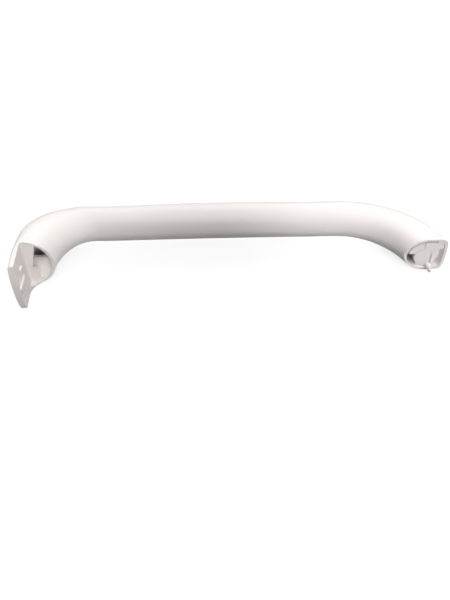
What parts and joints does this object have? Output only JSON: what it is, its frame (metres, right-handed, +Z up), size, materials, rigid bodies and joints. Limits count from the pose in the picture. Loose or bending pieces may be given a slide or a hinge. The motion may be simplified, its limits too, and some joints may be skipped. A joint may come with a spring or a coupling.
{
  "type": "refrigerator door handle",
  "caption": "Hollow white plastic bow handle for a refrigerator or freezer door, with a flared hooked end that laps over the door's edge and a plain end with a locating peg.",
  "frame": {"origin": "middle of the bounding box in X and Y, at its lowest point, with the handle lying on its side as in the picture", "axes": "+X along the handle from the hooked end to the plain end, +Y away from the door's face, +Z up across the grip"},
  "size_m": [0.3553, 0.0881, 0.0512],
  "materials": {
    "handle": "smooth glossy moulding, warm white"
  },
  "bodies": {
    "root": {"handle": "handle"}
  },
  "joints": []
}
